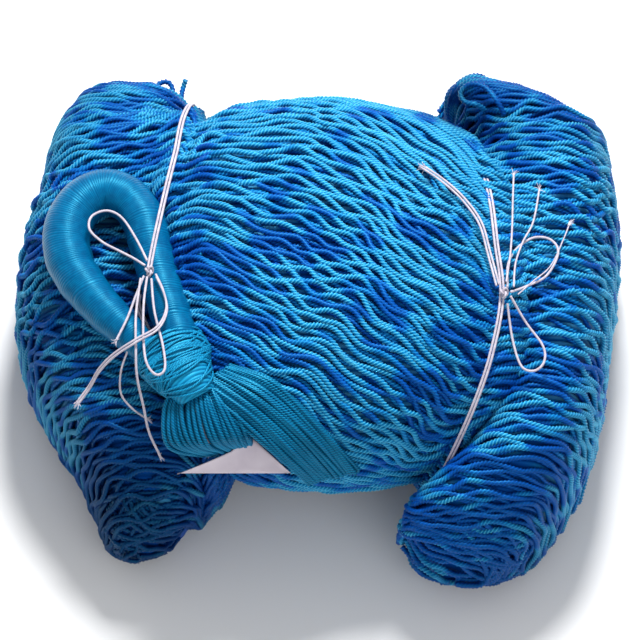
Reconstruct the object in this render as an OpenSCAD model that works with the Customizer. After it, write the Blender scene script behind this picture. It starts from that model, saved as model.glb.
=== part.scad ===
// Knotted net folded into a hank, tied with two strings, with a whipped hanging eye.
// Millimetres, +Z up. The hank lies on the plane Z = 0 and its origin is under the
// middle of its box. X runs along the cords of the net, and -Y is the front with the lobes.

/* [Belly wrap] */
// Half depth of the wrap at its widest
belly_half_d = 97; // [94:1:98]
// Half height of the wrap at its widest
belly_half_h = 64; // [60:1:66]
// Height of the wrap's middle line
belly_mid_z = 66; // [62:1:68]
// Thickness of the wrapped layers
wrap_t = 14; // [8:1:18]

/* [Side folds] */
// Height of the left fold at its crest
left_h = 96; // [86:1:97]
// Height of the right fold at its crest
right_h = 104; // [90:1:108]

/* [Hanging eye] */
// Radius of the cord bunch inside the whipping
eye_core_r = 7.6; // [6:0.1:8]
// Outer radius of the whipping
eye_r = 9.6; // [8.5:0.1:9.8]

/* [Strings] */
// Diameter of one tie string
string_d = 1.5; // [1:0.1:1.8]
// Diameter of the twisted twine of the net
twine_d = 3; // [2:0.1:3.5]

/* [Tag] */
// Thickness of the folded paper tag
tag_t = 0.8; // [0.4:0.1:1]

/* [Hidden] */

string_r = string_d / 2;
// Half width of two strings lying side by side
double_r = string_d;
cord_sides = 8;
fold_sides = 28;

// Y of the wrap's middle line
belly_mid_y = 11;

// ---- Curves -------------------------------------------------------------------------

function signed_pow(v, p) = sign(v) * pow(abs(v), p);
function superellipse(a, b, n, count) = [
  for (i = [0 : count - 1])
    let (t = 360 * i / count)
      [a * signed_pow(cos(t), 2 / n), b * signed_pow(sin(t), 2 / n)]
];

// A value read from rows of [key, value, ...], straight between rows
function row_at(rows, key, column) =
  let (last = len(rows) - 1)
    key <= rows[0][0] ? rows[0][column] :
    key >= rows[last][0] ? rows[last][column] :
    let (k = [for (i = [0 : last - 1]) if (rows[i][0] <= key && key < rows[i + 1][0]) i][0],
         f = (key - rows[k][0]) / (rows[k + 1][0] - rows[k][0]))
      rows[k][column] * (1 - f) + rows[k + 1][column] * f;

// Catmull-Rom points through hand-placed ones, closed or open
function pick(points, i, closed) =
  closed ? points[(i + len(points)) % len(points)] : points[max(0, min(len(points) - 1, i))];
function spline_point(a, b, c, d, t) =
  0.5 * (2 * b + (c - a) * t + (2 * a - 5 * b + 4 * c - d) * t * t
         + (3 * b - a - 3 * c + d) * t * t * t);
function spline(points, steps, closed = false) =
  let (spans = closed ? len(points) : len(points) - 1)
    [
      for (i = [0 : spans - 1], s = [0 : steps - 1])
        spline_point(pick(points, i - 1, closed), pick(points, i, closed),
                     pick(points, i + 1, closed), pick(points, i + 2, closed), s / steps),
      if (!closed) points[len(points) - 1],
    ];

// ---- Solids from rings --------------------------------------------------------------

function ring_sides(rings, sides, closed) =
  let (spans = closed ? rings : rings - 1)
    [
      for (k = [0 : spans - 1], i = [0 : sides - 1])
        let (a = k * sides + i, b = k * sides + (i + 1) % sides,
             c = ((k + 1) % rings) * sides + (i + 1) % sides, d = ((k + 1) % rings) * sides + i)
          each [[a, b, c], [a, c, d]],
    ];
function mean_point(ring) = [for (j = [0 : 2]) [for (p = ring) p[j]] * [for (p = ring) 1] / len(ring)];

// A closed solid through a row of rings, each end closed by a fan of triangles
module loft(rings) {
  sides = len(rings[0]);
  count = len(rings);
  ends = [mean_point(rings[0]), mean_point(rings[count - 1])];
  first = [for (i = [0 : sides - 1]) [count * sides, (i + 1) % sides, i]];
  last_start = (count - 1) * sides;
  last = [for (i = [0 : sides - 1]) [count * sides + 1, last_start + i, last_start + (i + 1) % sides]];
  polyhedron(points = [each [for (r = rings) each r], each ends],
             faces = [each ring_sides(count, sides, false), each first, each last]);
}

function unit(v) = v / max(norm(v), 0.0001);
function tangent(path, k, closed) =
  unit(pick(path, k + 1, closed) - pick(path, k - 1, closed));

// Rings of radii w (across) and h (along up) square to a path
function tube_rings(path, w, h, up, closed = false, sides = cord_sides) = [
  for (k = [0 : len(path) - 1])
    let (t = tangent(path, k, closed), side = unit(cross(t, up)), top = cross(side, t),
         wk = is_list(w) ? w[k] : w, hk = is_list(h) ? h[k] : h)
      [for (i = [0 : sides - 1])
        path[k] + wk * cos(360 * i / sides) * side + hk * sin(360 * i / sides) * top]
];

module tube(path, w, h, up = [0, 0, 1], sides = cord_sides) {
  loft(tube_rings(path, w, h, up, false, sides));
}

module closed_tube(path, w, h, up) {
  rings = tube_rings(path, w, h, up, true);
  polyhedron(points = [for (r = rings) each r], faces = ring_sides(len(rings), cord_sides, true));
}

// A hollow solid between outer and inner rings, with a flat rim of faces at each end
module hollow_loft(outer, inner) {
  count = len(outer);
  sides = len(outer[0]);
  shift = count * sides;
  inside = [for (f = ring_sides(count, sides, false)) [f[0] + shift, f[2] + shift, f[1] + shift]];
  last = (count - 1) * sides;
  rims = [
    for (i = [0 : sides - 1])
      let (j = (i + 1) % sides)
        each [
          [i, shift + i, shift + j], [i, shift + j, j],
          [last + i, last + j, shift + last + j], [last + i, shift + last + j, shift + last + i],
        ],
  ];
  polyhedron(points = [each [for (r = outer) each r], each [for (r = inner) each r]],
             faces = [each ring_sides(count, sides, false), each inside, each rims]);
}

module pipe(path, outer, inner, up = [0, 0, 1], sides = 16) {
  hollow_loft(tube_rings(path, outer, outer, up, false, sides),
              tube_rings(path, inner, inner, up, false, sides));
}

// ---- Folds of the net ---------------------------------------------------------------

// X of the wrap's left and right ends at a given Y: both ends are rounded in plan
function belly_left_x(y) = min(-43, -64 + 24 * pow((y - 25) / 89, 2));
function belly_right_x(y) =
  83 - 31 * pow(min(abs(y - 8), 100) / 92, 4) - 5 * exp(-pow((y - 55) / 25, 2));

// Share of the full depth and height along the wrap, from its left end to its right end
BELLY_STATIONS = [
  [0, 0.87, 0.78], [0.06, 0.93, 0.86], [0.18, 0.97, 0.95], [0.35, 1, 1], [0.6, 1, 1],
  [0.8, 0.96, 0.95], [0.93, 0.9, 0.85], [1, 0.84, 0.74],
];
// Height of the wrap's underside, which the side folds carry clear of the ground
belly_low = 3;
function belly_ring(s, inset = 0) =
  let (a = belly_half_d * row_at(BELLY_STATIONS, s, 1) - inset,
       b = belly_half_h * row_at(BELLY_STATIONS, s, 2) - inset)
    [for (p = superellipse(a, b, 2.2, fold_sides))
      let (y = p[0] + belly_mid_y, left = belly_left_x(y), right = belly_right_x(y))
        [left + (right - left) * s, y, max(belly_low + inset, p[1] + belly_mid_z)]];

module belly_wrap() {
  color("dodgerblue")
    hollow_loft([for (row = BELLY_STATIONS) belly_ring(row[0])],
                [for (row = BELLY_STATIONS) belly_ring(row[0], wrap_t)]);
}

// Side folds as sections along Y: [y, outer x, inner x, height, lowest z]
LEFT_STATIONS = [
  [-106, -93, -77, 34, 20], [-102, -98, -67, 44, 12], [-96, -102, -58, 54, 4],
  [-87, -107, -50, 66, 0], [-74, -113, -47, 78, 0], [-60, -122, -50, 87, 0],
  [-40, -134, -56, 92, 0], [-18, -140, -62, 95, 0], [12, -142, -67.5, 96, 0],
  [46, -138, -67, 96, 0], [72, -131, -60.5, 95, 0], [96, -126, -54, 94, 0],
  [108, -120, -56, 91, 0], [116, -112, -64, 78, 4], [121, -100, -76, 54, 14],
];
RIGHT_STATIONS = [
  [-121, 57, 86, 36, 22], [-117, 47, 98, 48, 14], [-111, 40, 107, 59, 5],
  [-103, 37, 114, 69, 0], [-93, 41, 121, 80, 0], [-84, 56, 127, 87, 0], [-70, 73, 133, 93, 0],
  [-45, 85, 138, 99, 0], [-15, 88, 141, 103, 0], [20, 88, 142, 104, 0],
  [50, 87, 142, 104, 0], [76, 82, 139, 103, 0], [100, 62, 134, 101, 0],
  [111, 54, 126, 97, 0], [117, 58, 112, 84, 4], [121, 68, 94, 62, 14],
];

// One section of a side fold: round in X and Z, flat where it lies on the ground
function fold_ring(row, crest, crest_now) =
  let (lift = crest_now / crest, low = row[4], high = row[3] * lift,
       x_mid = (row[1] + row[2]) / 2, z_mid = (low + high) / 2,
       a = abs(row[2] - row[1]) / 2, b = (high - low) / 2 + (low == 0 ? 3 : 0))
    [for (p = superellipse(a, b, 2.6, fold_sides))
      [p[0] + x_mid, row[0], max(low, p[1] + z_mid - (low == 0 ? 3 : 0))]];

module left_fold() {
  color("deepskyblue") loft([for (row = LEFT_STATIONS) fold_ring(row, 96, left_h)]);
}

module right_fold() {
  color("royalblue") loft([for (row = RIGHT_STATIONS) fold_ring(row, 104, right_h)]);
}

// Inner layers: two flat packs inside the wrap, with the second eye between them
core_x = [-42, 56];
core_round = 8;
module core_pack(low, high, half_d) {
  translate([core_x[0], belly_mid_y, 0])
    rotate([90, 0, 90])
      linear_extrude(core_x[1] - core_x[0])
        offset(core_round, $fn = 32)
          translate([core_round - half_d, low + core_round])
            square([2 * (half_d - core_round), high - low - 2 * core_round]);
}

module core_fold_upper() {
  color("mediumblue") core_pack(77, 100, 46);
}

module core_fold_lower() {
  color("navy") core_pack(31, 55, 50);
}

// Scalloped edge cord lying on the wrap's left shoulder
SELVAGE_ROUTE = [
  [-53, 72, 109], [-58, 60, 110], [-55, 50, 114], [-59, 38, 113], [-56, 26, 117],
  [-58, 14, 115], [-54, 2, 117], [-55, -10, 112], [-49, -22, 114], [-48, -33, 110],
];
module selvage_cord() {
  color("steelblue") tube(spline(SELVAGE_ROUTE, 4), twine_d / 2, twine_d / 2);
}

// Loose curl of one mesh standing on the far right corner
EDGE_LOOP_ROUTE = [
  [88, 89, 101], [85, 93, 102.8], [79, 100.5, 103], [72, 103, 101.5], [67.5, 100, 99],
  [69.5, 95.5, 98], [75, 93.5, 99.5], [79, 93, 97],
];
module edge_loop() {
  color("deepskyblue") tube(spline(EDGE_LOOP_ROUTE, 4), twine_d / 2, twine_d / 2);
}

// ---- Hanging eye --------------------------------------------------------------------

// Centre line of the teardrop, from the foot of the right leg round the crown to the left leg
EYE_ROUTE = [
  [-59, -50, 110], [-64, -36, 110], [-69, -20, 110], [-73.5, -4, 110], [-77.5, 12, 110],
  [-81, 26, 110], [-88, 37, 109.5], [-98, 42, 109], [-108, 38, 108.5], [-115, 28, 108],
  [-117, 15, 108], [-114, 2, 108], [-107, -10, 108.4], [-98, -22, 109], [-88, -33, 109.6],
  [-79, -43, 110],
];
// Share of the full radius along the teardrop: the legs narrow at the throat
EYE_STATIONS = [[0, 0.72], [0.12, 0.98], [0.2, 1], [0.86, 1], [0.94, 0.86], [1, 0.68]];
eye_path = spline(EYE_ROUTE, 3);
function eye_radii(full) = [
  for (k = [0 : len(eye_path) - 1]) full * row_at(EYE_STATIONS, k / (len(eye_path) - 1), 1)
];

module eye_core() {
  color("teal") tube(eye_path, eye_radii(eye_core_r), eye_radii(eye_core_r), sides = 16);
}

module eye_whipping() {
  color("deepskyblue") pipe(eye_path, eye_radii(eye_r), eye_radii(eye_core_r + 0.1));
}

// Crossed wrap that grips both legs
THROAT_ROUTE = [
  [-71.5, -37, 110], [-70, -40, 110], [-66.5, -46, 110], [-63, -53, 109.5], [-58.5, -60, 108],
  [-55.5, -65, 106],
];
THROAT_W = [15, 17, 16.5, 14, 11.5, 9];
THROAT_H = [8.6, 9.4, 9.6, 9.4, 8.6, 7];
module throat_seizing() {
  color("darkcyan") tube(THROAT_ROUTE, THROAT_W, THROAT_H, sides = 20);
}

// Bunches of fine arm cords from the throat down over the front of the wrap
ARM_LEFT_ROUTE = [
  [-54, -70, 103], [-55, -77, 99.5], [-54.5, -84, 94], [-53, -90, 88], [-51, -93.5, 83],
];
ARM_LEFT_W = [6, 12, 15, 14, 9];
ARM_LEFT_H = [4, 4.4, 4.6, 4.4, 3.6];
module arm_cords_left() {
  color("teal")
    tube(ARM_LEFT_ROUTE, ARM_LEFT_W, ARM_LEFT_H, up = [0, -0.7, 0.7], sides = 16);
}

ARM_RIGHT_ROUTE = [
  [-46, -65, 110], [-40, -66, 109], [-31, -70, 106], [-20, -75, 101], [-8, -80, 93],
  [6, -85, 81], [18, -88, 67],
];
ARM_RIGHT_W = [5, 9, 12, 12, 10, 8, 5];
ARM_RIGHT_H = [4, 4.4, 4, 3.6, 3.2, 3, 2.4];
module arm_cords_right() {
  color("cadetblue")
    tube(ARM_RIGHT_ROUTE, ARM_RIGHT_W, ARM_RIGHT_H, up = [0, -0.6, 0.8], sides = 16);
}

// ---- Second eye, tucked flat between the inner layers --------------------------------

INNER_EYE_ROUTE = [
  [-6, 6, 66], [8, 8, 66], [22, 12, 66], [34, 20, 66], [42, 30, 66], [40, 42, 66],
  [30, 48, 66], [18, 46, 66], [6, 38, 66], [-4, 28, 66],
];
inner_eye_path = spline(INNER_EYE_ROUTE, 3);
module inner_eye_core() {
  color("teal") tube(inner_eye_path, eye_core_r - 1, eye_core_r - 1, sides = 16);
}

module inner_eye_whipping() {
  color("deepskyblue") pipe(inner_eye_path, eye_r - 0.6, eye_core_r - 0.9);
}

module inner_throat() {
  color("darkcyan")
    tube([[-4, 16, 66], [-10, 14, 66], [-18, 10, 66], [-24, 6, 66]], [16, 17, 13, 9],
         [9.5, 9.8, 9.4, 8], sides = 16);
}

module inner_arm_cords() {
  color("teal")
    tube([[-24.5, 6, 66], [-30, 0, 66], [-34, -14, 66], [-30, -34, 66], [-16, -46, 66]],
         [8, 12, 16, 14, 8], [7, 7.5, 7.5, 7, 6], sides = 16);
}

// ---- Left tie -----------------------------------------------------------------------

// Once round the left neck, over the eye's right leg and back under the throat
LEFT_BAND_ROUTE = [
  [-59, 98, 92], [-63, 84, 104], [-66, 63, 111], [-70, 41, 117], [-74.5, 16, 120.6],
  [-77, 2, 120.4],
];
LEFT_RETURN_ROUTE = [
  [-83, -10, 104], [-83, -14, 98.2], [-78, -26, 96.6], [-70, -42, 95.6], [-58, -60, 92],
  [-48.5, -76, 80], [-45, -84, 62], [-45, -84, 42], [-44.5, -74, 18], [-44.5, -50, 1.6],
  [-44, 0, 1.6], [-44.5, 50, 1.6], [-48, 80, 12], [-52.5, 97, 36], [-56, 103, 64], [-59, 98, 92],
];
module left_tie_band() {
  color("gainsboro") {
    tube(spline([each LEFT_RETURN_ROUTE, each [for (i = [1 : 5]) LEFT_BAND_ROUTE[i]]], 3),
         string_r, double_r, up = [1, 0, 0.02]);
  }
}

LEFT_KNOT = [-78, -6.7, 121];
module knot_at(p) {
  translate(p)
    union() {
      sphere(2.2, $fn = 24);
      translate([0, 1.4, 0]) sphere(1.7, $fn = 24);
      translate([0, -1.4, 0]) sphere(1.7, $fn = 24);
    }
}
module left_tie_knot() {
  color("whitesmoke") knot_at(LEFT_KNOT);
}

LEFT_LOOP_UPPER = [
  [-80, -4, 121.6], [-85.5, 0, 121.4], [-92, 4, 121], [-100, 9, 120.6], [-106, 16, 120],
  [-105, 23, 119.8], [-98, 26, 119.8], [-91, 22, 120.2], [-84.5, 11, 120.8], [-79, -2, 122.6],
];
module left_bow_loop_upper() {
  color("whitesmoke") tube(spline(LEFT_LOOP_UPPER, 4), string_r, string_r);
}

LEFT_LOOP_LOWER = [
  [-79, -10, 121.6], [-80.5, -24, 121.4], [-80.5, -42, 121.6], [-79, -55, 121.6],
  [-74.5, -61, 121], [-70.5, -58, 121.2], [-71.5, -46, 121.6], [-75.5, -28, 121.6],
  [-77, -11, 121.6],
];
module left_bow_loop_lower() {
  color("whitesmoke") tube(spline(LEFT_LOOP_LOWER, 4), string_r, string_r);
}

LEFT_TAIL_DOUBLE = [
  [-75, -9.5, 122], [-71.5, -18, 122], [-70, -28, 123], [-74, -38, 124], [-84, -44.5, 123.4],
  [-94, -48.5, 117], [-101, -51, 107], [-106, -55, 97], [-111, -60, 92],
];
module left_tail_double() {
  color("gainsboro") tube(spline(LEFT_TAIL_DOUBLE, 3), double_r * 0.8, string_r);
}

LEFT_TAIL_SHORT = [[-80.5, -9, 120.6], [-84.5, -20, 120], [-88, -31, 120.4], [-93, -42, 119.4]];
module left_tail_short() {
  color("whitesmoke") tube(spline(LEFT_TAIL_SHORT, 4), string_r, string_r);
}

LEFT_TAIL_THIN = [
  [-88, -48, 119], [-91, -55, 112], [-91, -61, 102], [-86, -65, 95], [-79, -69, 92],
];
module left_tail_thin() {
  color("whitesmoke") tube(spline(LEFT_TAIL_THIN, 4), string_r * 0.8, string_r * 0.8);
}

LEFT_TAIL_LONG = [
  [-82, -11, 122], [-84, -30, 122.6], [-84, -46, 121], [-83.5, -58, 114], [-80.5, -68, 102],
  [-78, -76, 92], [-73, -84, 84],
];
module left_tail_long() {
  color("whitesmoke") tube(spline(LEFT_TAIL_LONG, 4), string_r, string_r);
}

// ---- Right tie ----------------------------------------------------------------------

RIGHT_BAND_ROUTE = [
  [86, -17, 116], [83.5, 10, 117.5], [81.5, 32, 114.5], [79, 50, 107], [76, 66, 96],
  [72.5, 79, 82], [65, 91, 62], [58, 97, 42], [54, 95, 24], [51, 78, 8], [50, 50, 1.6], [50, 0, 1.6], [50, -46, 1.6], [50, -66, 12],
  [50, -80, 30], [54, -86, 52], [63, -79, 76], [73, -64, 96], [81, -44, 109],
];
module right_tie_band() {
  color("gainsboro")
    closed_tube(spline(RIGHT_BAND_ROUTE, 3, true), string_r, double_r, [1, 0, 0.02]);
}

RIGHT_KNOT = [87, -17, 119];
module right_tie_knot() {
  color("whitesmoke") knot_at(RIGHT_KNOT);
}

RIGHT_LOOP_UPPER = [
  [88.5, -14, 119], [89, 0, 115], [93, 11, 110], [101, 18, 108], [109, 17, 108],
  [112.5, 10, 108], [107, -2, 108], [97, -9, 110], [90, -15.5, 117],
];
module right_bow_loop_upper() {
  color("whitesmoke") tube(spline(RIGHT_LOOP_UPPER, 4), string_r, string_r);
}

RIGHT_LOOP_LOWER = [
  [90, -18, 117.6], [97, -27, 109], [105, -38, 106], [105.5, -46, 105], [101, -50, 104],
  [95, -48, 104.6], [91, -36, 107.5], [88.5, -20.5, 115],
];
module right_bow_loop_lower() {
  color("whitesmoke") tube(spline(RIGHT_LOOP_LOWER, 4), string_r, string_r);
}

RIGHT_TAIL_DOUBLE = [
  [84, -14, 121], [80, 2, 123], [76, 17, 124.5], [68, 29, 126], [59, 37, 128.4], [50, 43, 130.4],
];
module right_tail_double() {
  color("gainsboro") tube(spline(RIGHT_TAIL_DOUBLE, 4), double_r * 0.8, string_r);
}

RIGHT_TAIL_UP = [[88, -12, 120.4], [90, 4, 116], [91, 20, 110], [91.5, 36, 107.5], [92, 50, 107]];
module right_tail_up() {
  color("whitesmoke") tube(spline(RIGHT_TAIL_UP, 4), string_r * 0.8, string_r * 0.8);
}

RIGHT_TAIL_SIDE = [
  [91.5, -13, 117.6], [92.5, 2, 112.6], [96, 14, 111.2], [101, 26, 109], [104, 44, 107],
];
module right_tail_side() {
  color("whitesmoke") tube(spline(RIGHT_TAIL_SIDE, 4), string_r * 0.8, string_r * 0.8);
}

RIGHT_TAIL_THIN = [
  [93.5, -16, 115.6], [101, -6.5, 111.4], [109, 4, 106.4], [115, 18, 106], [118, 27, 105],
];
module right_tail_thin() {
  color("whitesmoke") tube(spline(RIGHT_TAIL_THIN, 4), string_r * 0.6, string_r * 0.6);
}

// ---- Tag ----------------------------------------------------------------------------

// Card folded along its lower edge, leaning on the front of the wrap under the arm cords
tag_low = [0, -89, 76];
tag_tilt = 50;
module paper_tag() {
  color("white")
    translate(tag_low)
      rotate([tag_tilt, 0, 0])
        linear_extrude(tag_t)
          polygon([[-65, 0], [-12, 0], [-32, 19], [-44, 16]]);
}

belly_wrap();
left_fold();
right_fold();
core_fold_upper();
core_fold_lower();
selvage_cord();
edge_loop();
eye_core();
eye_whipping();
throat_seizing();
arm_cords_left();
arm_cords_right();
inner_eye_core();
inner_eye_whipping();
inner_throat();
inner_arm_cords();
left_tie_band();
left_tie_knot();
left_bow_loop_upper();
left_bow_loop_lower();
left_tail_double();
left_tail_short();
left_tail_thin();
left_tail_long();
right_tie_band();
right_tie_knot();
right_bow_loop_upper();
right_bow_loop_lower();
right_tail_double();
right_tail_up();
right_tail_side();
right_tail_thin();
paper_tag();
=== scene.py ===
import math
import bpy
import numpy as np
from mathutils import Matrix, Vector


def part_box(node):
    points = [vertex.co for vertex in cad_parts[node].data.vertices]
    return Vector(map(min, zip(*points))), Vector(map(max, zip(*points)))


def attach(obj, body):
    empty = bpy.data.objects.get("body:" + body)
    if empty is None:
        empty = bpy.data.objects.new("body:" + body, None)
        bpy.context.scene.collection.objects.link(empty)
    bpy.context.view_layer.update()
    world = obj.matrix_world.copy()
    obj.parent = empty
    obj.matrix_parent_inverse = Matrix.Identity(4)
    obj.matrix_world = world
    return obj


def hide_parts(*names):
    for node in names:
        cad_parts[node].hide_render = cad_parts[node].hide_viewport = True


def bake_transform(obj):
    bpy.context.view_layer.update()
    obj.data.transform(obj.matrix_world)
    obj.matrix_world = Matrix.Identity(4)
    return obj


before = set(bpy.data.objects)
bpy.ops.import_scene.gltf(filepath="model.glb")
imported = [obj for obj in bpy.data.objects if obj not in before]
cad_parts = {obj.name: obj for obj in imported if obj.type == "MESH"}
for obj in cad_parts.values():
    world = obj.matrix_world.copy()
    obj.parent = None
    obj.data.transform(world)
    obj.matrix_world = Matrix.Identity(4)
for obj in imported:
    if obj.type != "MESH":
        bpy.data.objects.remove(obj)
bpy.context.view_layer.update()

# A knotted net folded into a hank. Lengths are in millimetres until a mesh is made.
MM = 0.001
TWINE = 3.0
STRING = 1.3
FINE = 2.3
FULL_TURN = 2 * math.pi


# ---- Camera -------------------------------------------------------------------------

CAMERA_TARGET = Vector((0.0014, 0.0027, 0.055))
CAMERA_DISTANCE = 6.0
CAMERA_ELEVATION = math.radians(62)
CAMERA_SENSOR = 36
CAMERA_FIELD = 0.3008


def make_camera():
    data = bpy.data.cameras.new("camera")
    data.sensor_width = CAMERA_SENSOR
    data.lens = CAMERA_SENSOR * CAMERA_DISTANCE / CAMERA_FIELD
    camera = bpy.data.objects.new("camera", data)
    bpy.context.scene.collection.objects.link(camera)
    back = Vector((0, -math.cos(CAMERA_ELEVATION), math.sin(CAMERA_ELEVATION)))
    camera.location = CAMERA_TARGET + back * CAMERA_DISTANCE
    camera.rotation_euler = (math.pi / 2 - CAMERA_ELEVATION, 0, 0)
    bpy.context.scene.camera = camera


make_camera()


# ---- Small mathematics --------------------------------------------------------------

def unit(v):
    return v / np.maximum(np.linalg.norm(v, axis=-1, keepdims=True), 1e-9)


def signed_pow(v, power):
    return np.sign(v) * np.abs(v) ** power


def ease(t):
    t = np.clip(t, 0, 1)
    return t * t * (3 - 2 * t)


def hermite(a, b, slope_a, slope_b, f):
    return ((2 * f**3 - 3 * f**2 + 1) * a + (f**3 - 2 * f**2 + f) * slope_a
            + (3 * f**2 - 2 * f**3) * b + (f**3 - f**2) * slope_b)


def row_values(rows, key):
    """Smooth values of the columns after the first, read at key in rows of [key, value, ...]."""
    table = np.array(rows, float)
    at = table[:, 0]
    slope = np.gradient(table[:, 1:], at, axis=0)
    key = np.asarray(key, float)
    k = np.clip(np.searchsorted(at, key, side="right") - 1, 0, len(at) - 2)
    span = (at[k + 1] - at[k])[..., None]
    f = np.clip((key - at[k])[..., None] / span, 0, 1)
    return hermite(table[k, 1:], table[k + 1, 1:], slope[k] * span, slope[k + 1] * span, f)


def spline(points, steps, closed=False):
    """Catmull-Rom points through given ones."""
    p = np.array(points, float)
    count = len(p)
    if closed:
        p = np.concatenate([p[-1:], p, p[:2]])
    else:
        p = np.concatenate([p[:1], p, p[-1:]])
    spans = count if closed else count - 1
    f = (np.arange(steps) / steps)[:, None]
    out = []
    for i in range(spans):
        a, b, c, d = p[i:i + 4]
        out.append(0.5 * (2 * b + (c - a) * f + (2 * a - 5 * b + 4 * c - d) * f**2
                          + (3 * b - a - 3 * c + d) * f**3))
    if not closed:
        out.append(p[-2][None])
    return np.concatenate(out)


def lengths(path):
    """Distance along a path at each of its points."""
    step = np.linalg.norm(np.diff(path, axis=-2), axis=-1)
    zero = np.zeros(step.shape[:-1] + (1,))
    return np.concatenate([zero, np.cumsum(step, axis=-1)], axis=-1)


def even(path, step, *others):
    """The path, and arrays that go with it, at equal steps of length."""
    along = lengths(path)
    count = max(3, int(round(along[-1] / step)) + 1)
    at = np.linspace(0, along[-1], count)
    out = []
    for values in (path,) + others:
        columns = values.reshape(len(path), -1).T
        out.append(np.stack([np.interp(at, along, c) for c in columns], -1))
    return out


def waves(seed, scale, count=10):
    """A smooth random field of about unit size, with features about scale apart."""
    rng = np.random.default_rng(seed)
    k = unit(rng.normal(size=(count, 3))) * rng.uniform(0.6, 1.6, (count, 1)) * FULL_TURN / scale
    phase = rng.uniform(0, FULL_TURN, count)

    def field(p):
        return np.sin(p @ k.T + phase).sum(-1) * math.sqrt(2 / count)

    return field


def smooth_rows(values, width):
    """Moving average along the last axis."""
    if width < 2:
        return values
    pad = width // 2
    padded = np.concatenate([np.repeat(values[..., :1], pad, -1), values,
                             np.repeat(values[..., -1:], pad, -1)], -1)
    total = np.cumsum(np.concatenate([np.zeros(values.shape[:-1] + (1,)), padded], -1), -1)
    return ((total[..., width:] - total[..., :-width]) / width)[..., :values.shape[-1]]


# ---- Meshes -------------------------------------------------------------------------

def quad_mesh(name, verts, quads, ends, uvs, attributes, material):
    """An object from vertices in millimetres, quads with their UVs, and end polygons."""
    mesh = bpy.data.meshes.new(name)
    mesh.vertices.add(len(verts))
    mesh.vertices.foreach_set("co", (verts * MM).astype(np.float32).ravel())
    flat = [quads.ravel()] + [np.array(e) for e in ends]
    loops = np.concatenate(flat).astype(np.int32)
    sizes = np.concatenate([np.full(len(quads), 4), [len(e) for e in ends]]).astype(np.int32)
    starts = np.concatenate([[0], np.cumsum(sizes)[:-1]]).astype(np.int32)
    mesh.loops.add(len(loops))
    mesh.loops.foreach_set("vertex_index", loops)
    mesh.polygons.add(len(sizes))
    mesh.polygons.foreach_set("loop_start", starts)
    mesh.update(calc_edges=True)
    mesh.polygons.foreach_set("use_smooth", np.ones(len(sizes), bool))
    layer = mesh.uv_layers.new(name="OFBake")
    full = np.zeros((len(loops), 2), np.float32)
    full[:uvs.size // 2] = uvs.reshape(-1, 2)
    if len(loops) > uvs.size // 2:
        full[uvs.size // 2:] = uvs.reshape(-1, 2)[0]
    layer.data.foreach_set("uv", full.ravel())
    for key, values in attributes.items():
        a = mesh.attributes.new(key, "FLOAT", "POINT")
        a.data.foreach_set("value", values.astype(np.float32))
    mesh.materials.append(material)
    mesh.update()
    piece = bpy.data.objects.new(name, mesh)
    bpy.context.scene.collection.objects.link(piece)
    return piece


def tube_faces(rings, sides, first):
    k = np.arange(rings - 1)[:, None]
    i = np.arange(sides)[None]
    j = (i + 1) % sides
    return first + np.stack([k * sides + i, k * sides + j,
                             (k + 1) * sides + j, (k + 1) * sides + i], -1).reshape(-1, 4)


def strip_uvs(rings, sides, low, high, reach):
    """UVs of a tube's quads: its length along U, its girth between low and high along V."""
    k = np.arange(rings - 1)[:, None] + np.zeros((1, sides))
    i = np.arange(sides)[None] + np.zeros((rings - 1, 1))
    u0 = k / (rings - 1) * reach
    u1 = (k + 1) / (rings - 1) * reach
    v0 = low + (high - low) * i / sides
    v1 = low + (high - low) * (i + 1) / sides
    return np.stack([np.stack([u0, v0], -1), np.stack([u0, v1], -1),
                     np.stack([u1, v1], -1), np.stack([u1, v0], -1)], 2)


def path_frames(path, up):
    """Side and top directions square to a path; up is one vector or one for each point."""
    along = unit(np.gradient(path, axis=0))
    side = unit(np.cross(along, np.broadcast_to(np.asarray(up, float), path.shape)))
    return side, np.cross(side, along)


class TubeSet:
    """Many tubes gathered into one mesh, each with its own strip of the UV square."""

    def __init__(self):
        self.rings = []
        self.values = []

    def add(self, rings, **values):
        """rings is (rings, sides, 3) in millimetres; values are (rings, sides) arrays."""
        self.rings.append(rings)
        self.values.append(values)

    def faces(self):
        return sum(2 * r.shape[0] * r.shape[1] for r in self.rings)

    def build(self, name, material):
        first = 0
        quads, uvs, ends = [], [], []
        longest = max(len(r) for r in self.rings)
        count = len(self.rings)
        for row, rings in enumerate(self.rings):
            n, sides = rings.shape[:2]
            quads.append(tube_faces(n, sides, first))
            uvs.append(strip_uvs(n, sides, row / count, (row + 0.92) / count, 0.998 * n / longest))
            ends.append(list(range(first + sides - 1, first - 1, -1)))
            ends.append(list(range(first + (n - 1) * sides, first + n * sides)))
            first += n * sides
        keys = self.values[0].keys()
        attributes = {k: np.concatenate([v[k].ravel() for v in self.values]) for k in keys}
        verts = np.concatenate([r.reshape(-1, 3) for r in self.rings])
        return quad_mesh(name, verts, np.concatenate(quads), ends,
                         np.concatenate([u.reshape(-1, 2) for u in uvs]), attributes, material)


def rings_round(path, frames, across, over, angle):
    """Rings round a path. across and over are half widths along its side and its top."""
    side, top = frames
    return (path[:, None] + (across * np.cos(angle))[..., None] * side[:, None]
            + (over * np.sin(angle))[..., None] * top[:, None])


STRANDS = 3


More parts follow.
